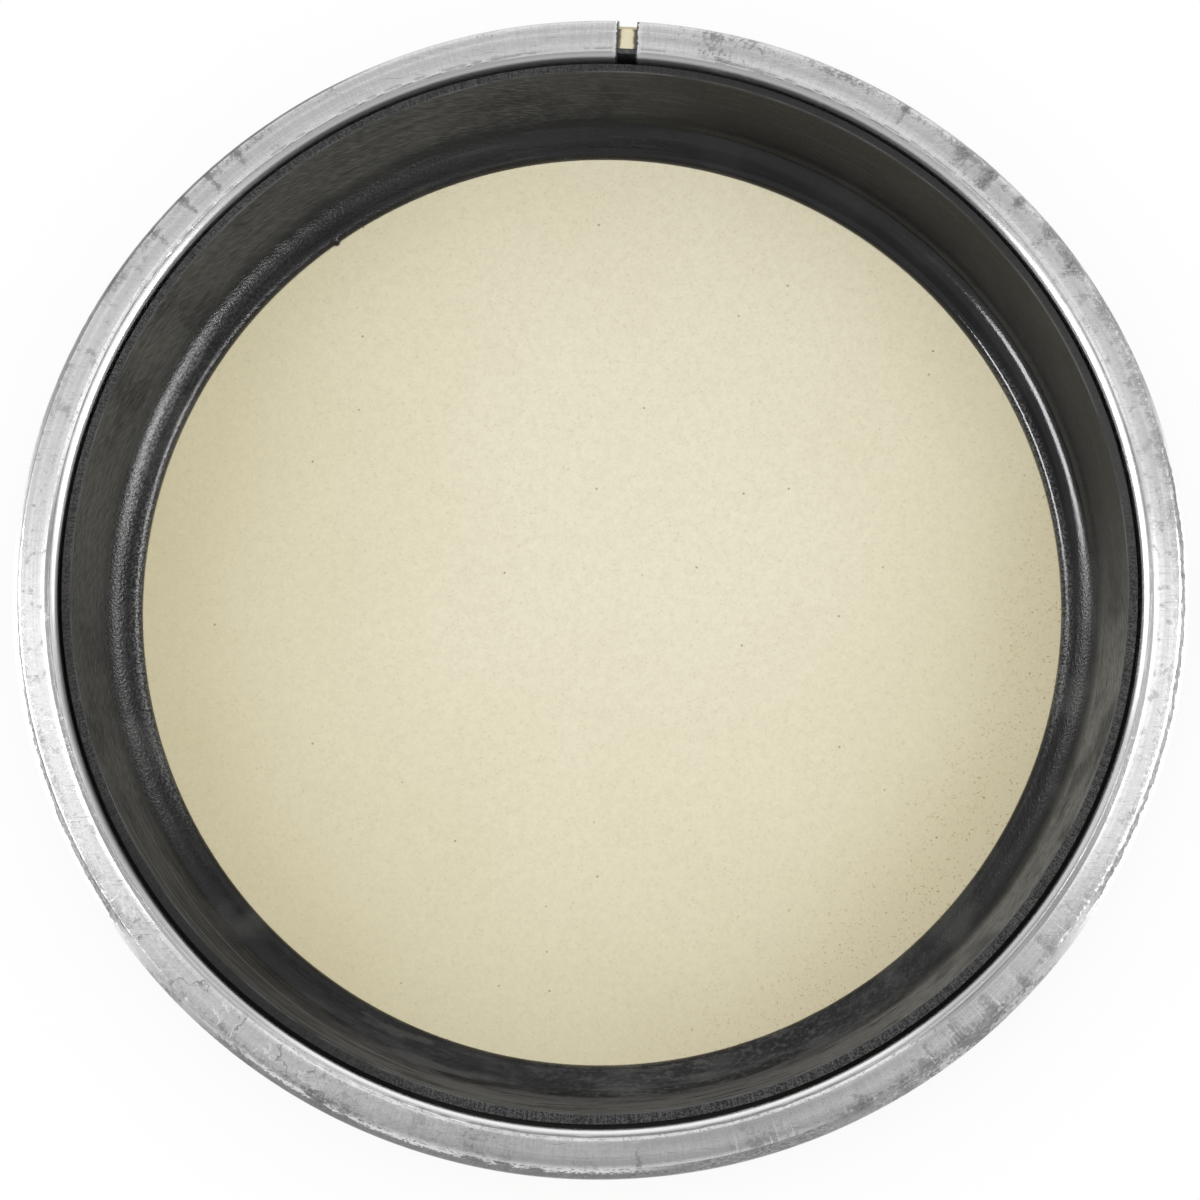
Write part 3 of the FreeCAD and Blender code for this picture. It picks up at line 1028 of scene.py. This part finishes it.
    def roughness(self):
        """Satin flange and lip, rough wall, smoother at the upper right."""
        left = self.times((self.x, -40, -80), (self.y, -20, 40, 0.05, -0.17))
        return self.plus(
            self.between(self.haze, 0.18, 0.36),
            self.times(self.wall, 0.70),
            (self.grain, 0.35, 0.7, -0.03, 0.06),
            self.times(self.cut_end, 0.2),
            (self.radius, lip + 2.4, lip + 1.4, 0, -0.08),
            self.times((self.x, 50, 80), self.flange, -0.05),
            self.times(left, self.flange),
            self.times(self.upper_right, self.wall, -0.35),
        )

    def relief(self):
        """Fine relief of the streaks, the fibres and the grain."""
        share = self.larger(self.haze, self.times(self.wall, 0.3))
        relief = self.bump(self.times(self.lines, share), 0.05)
        relief = self.bump(self.times(self.fibres, share), 0.09, relief)
        bend_grain = self.times(self.left_bend, (self.y, 40, 10, -0.3, 0.8))
        grain_share = self.plus(self.between(self.haze, 0.2, 1), bend_grain)
        grain_share = self.times(grain_share, (self.radius, lip + 1.4, lip + 2.8, 0.75, 1))
        return self.bump(self.times(self.grain, grain_share), 0.10, relief)


def dark_fibre():
    """Moulded fibre, smooth and black on two sides and hazy and fibrous between, with a sawn end."""
    look = CollarFibre()
    colour = look.moulded()
    for layer in (look.streaked, look.fibrous, look.dusty, look.worn, look.gritty, look.sawn):
        colour = layer(colour)
    look.finish(Specular_IOR_Level=0.25)
    return look.finish(Base_Color=colour, Roughness=look.roughness(), Normal=look.relief())


# Strip and resin

def dark_strip():
    """Matt near-black strip with a faint weave."""
    look = Finish("dark_strip")
    weave = look.noise(look.place, 0.35, detail=3)
    colour = look.mix((weave, 0.35, 0.7), grey(0.018), grey(0.055))
    return look.finish(Base_Color=colour, Roughness=0.7, Normal=look.bump(weave, 0.05))


def cast_resin():
    """Yellowish cast bead with a cloudy, slightly pitted surface."""
    look = Finish("cast_resin")
    clouds = look.noise(look.place, 5, detail=4)
    pits = look.noise(look.place, 0.8, detail=2)
    colour = look.mix((clouds, 0.3, 0.7), (0.66, 0.60, 0.42), (0.54, 0.47, 0.30))
    colour = look.mix((pits, 0.66, 0.74, 0, 0.5), colour, (0.30, 0.24, 0.14))
    return look.finish(Base_Color=colour, Roughness=0.45, Normal=look.bump(pits, 0.08))


# Pieces

def show(piece, node, material):
    """Puts a finished piece in the place of its node."""
    piece.data.materials.append(material)
    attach(piece, "root")
    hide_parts(node)


hoop = turned("hoop_metal", spaced(rounded(hoop_outline()), HOOP_RUN), HOOP_STEPS, shape_hoop, gap_width)
show(hoop, "channel_hoop", aluminium())

collar = turned("collar_fibre", spaced(rounded(collar_outline()), COLLAR_RUN), COLLAR_STEPS, shape_collar)
show(collar, "collar_ring", dark_fibre())

skin = turned("film_skin", spaced(rounded(film_outline()), FILM_RUN), FILM_STEPS)
show(skin, "membrane", cream_film())

strip = turned("strip_dark", rounded(strip_outline()), FILM_STEPS)
show(strip, "locking_strip", dark_strip())

resin = turned("resin_bead", rounded(resin_outline()), FILM_STEPS)
show(resin, "resin_fill", cast_resin())


# Stage

def seen(tree):
    """1 for rays that show the background: from the camera, or by way of gloss or glass."""
    path = tree.nodes.new("ShaderNodeLightPath")
    total = path.outputs["Is Camera Ray"]
    for name in ("Is Glossy Ray", "Is Transmission Ray"):
        larger = tree.nodes.new("ShaderNodeMath")
        larger.operation = "MAXIMUM"
        tree.links.new(total, larger.inputs[0])
        tree.links.new(path.outputs[name], larger.inputs[1])
        total = larger.outputs[0]
    return total


def light_world(fill):
    """White where it is seen, and a weak even fill light otherwise."""
    world = bpy.data.worlds.new("white_room")
    world.use_nodes = True
    bpy.context.scene.world = world
    tree = world.node_tree
    background = tree.nodes["Background"]
    background.inputs["Color"].default_value = (1, 1, 1, 1)
    strength = tree.nodes.new("ShaderNodeMapRange")
    strength.inputs["To Min"].default_value = fill
    tree.links.new(seen(tree), strength.inputs["Value"])
    tree.links.new(strength.outputs["Result"], background.inputs["Strength"])


def flat_sheet(name, width, depth, level=0.0):
    """Flat rectangle about the axis, at a level."""
    signs = ((-1, -1), (1, -1), (1, 1), (-1, 1))
    corners = [(right * width / 2, up * depth / 2, level) for right, up in signs]
    mesh = bpy.data.meshes.new(name)
    mesh.from_pydata(corners, [], [(0, 1, 2, 3)])
    return put(name, mesh)


def lay_floor(width, level, opening, shade_from, shade_to):
    """Pale floor, open under the playing face, with a soft shadow near the object and white further out."""
    floor = flat_sheet("floor", width, width, level)
    look = Finish("pale_floor")
    matt = look.add("ShaderNodeBsdfDiffuse", [("Color", grey(0.8))])
    white = look.add("ShaderNodeEmission", [("Color", grey(1.0))])
    share = look.times(look.ramp(look.radius, shade_from, shade_to, 0.92, 1.0), seen(look.tree))
    lit = look.add("ShaderNodeMixShader", [(0, share), (1, matt.outputs[0]), (2, white.outputs[0])])
    clear = look.add("ShaderNodeBsdfTransparent")
    from_below = look.add("ShaderNodeNewGeometry").outputs["Backfacing"]
    see_through = look.larger(from_below, look.maths("LESS_THAN", look.radius, opening))
    whole = look.add("ShaderNodeMixShader", [(0, see_through), (1, lit.outputs[0]), (2, clear.outputs[0])])
    floor.data.materials.append(look.surface(whole))


def hang_card(name, centre, normal, width, depth, level):
    """Grey card beside the object, which only dims what the object reflects."""
    card = flat_sheet(name, width, depth)
    card.location = centre
    card.rotation_euler = Vector(normal).to_track_quat("Z", "Y").to_euler()
    card.visible_camera = card.visible_diffuse = card.visible_shadow = False
    look = Finish(name)
    even = look.add("ShaderNodeEmission", [("Color", grey(level))])
    card.data.materials.append(look.surface(even))


def unit_vector(turn, elevation):
    """Direction at a clockwise angle and an elevation, in degrees."""
    flat = math.cos(math.radians(elevation))
    across = flat * math.sin(math.radians(turn))
    along = flat * math.cos(math.radians(turn))
    return Vector((across, along, math.sin(math.radians(elevation))))


def place_softbox(name, turn, elevation, distance, width, height, power):
    """Soft light that faces the object from a clockwise angle and an elevation."""
    lamp = bpy.data.lights.new(name, "AREA")
    lamp.shape = "RECTANGLE"
    lamp.size = width
    lamp.size_y = height
    lamp.energy = power
    softbox = put(name, lamp)
    towards = unit_vector(turn, elevation)
    softbox.location = towards * distance
    softbox.rotation_euler = towards.to_track_quat("Z", "Y").to_euler()
    softbox.visible_camera = False
    return softbox


def place_camera(target, turn, tilt, distance, lens):
    """Camera above the open side, with +Y up in the picture."""
    camera_data = bpy.data.cameras.new("camera")
    camera_data.lens = lens
    camera = put("camera", camera_data)
    back = unit_vector(180 - turn, 90 - tilt)
    right = Vector((0, 1, 0)).cross(back).normalized()
    up = back.cross(right)
    pose = Matrix((right, up, back)).transposed().to_4x4()
    pose.translation = target + back * distance
    camera.matrix_world = pose
    bpy.context.scene.camera = camera


light_world(fill=0.55)
lay_floor(width=8.0, level=-0.0003, opening=collar_mouth - 10.0, shade_from=120.0, shade_to=155.0)
hang_card("card_above", centre=(-0.015, -0.03, 1.3), normal=(0, 0, -1), width=0.47, depth=0.94, level=0.50)
for name, turn in (("strip_right", 95.0), ("strip_left", 265.0)):
    strip_light = place_softbox(name, turn, 38.0, distance=0.9, width=0.48, height=0.26, power=12.0)
    strip_light.visible_diffuse = False
overhead = place_softbox("overhead", 0.0, 90.0, distance=1.6, width=0.9, height=0.9, power=12.0)
overhead.visible_glossy = False
place_camera(target=Vector((0.39, -3.73, 28.0)) * MM, turn=7.21, tilt=9.84, distance=0.9, lens=133.27)

bpy.context.scene.view_settings.view_transform = "Standard"
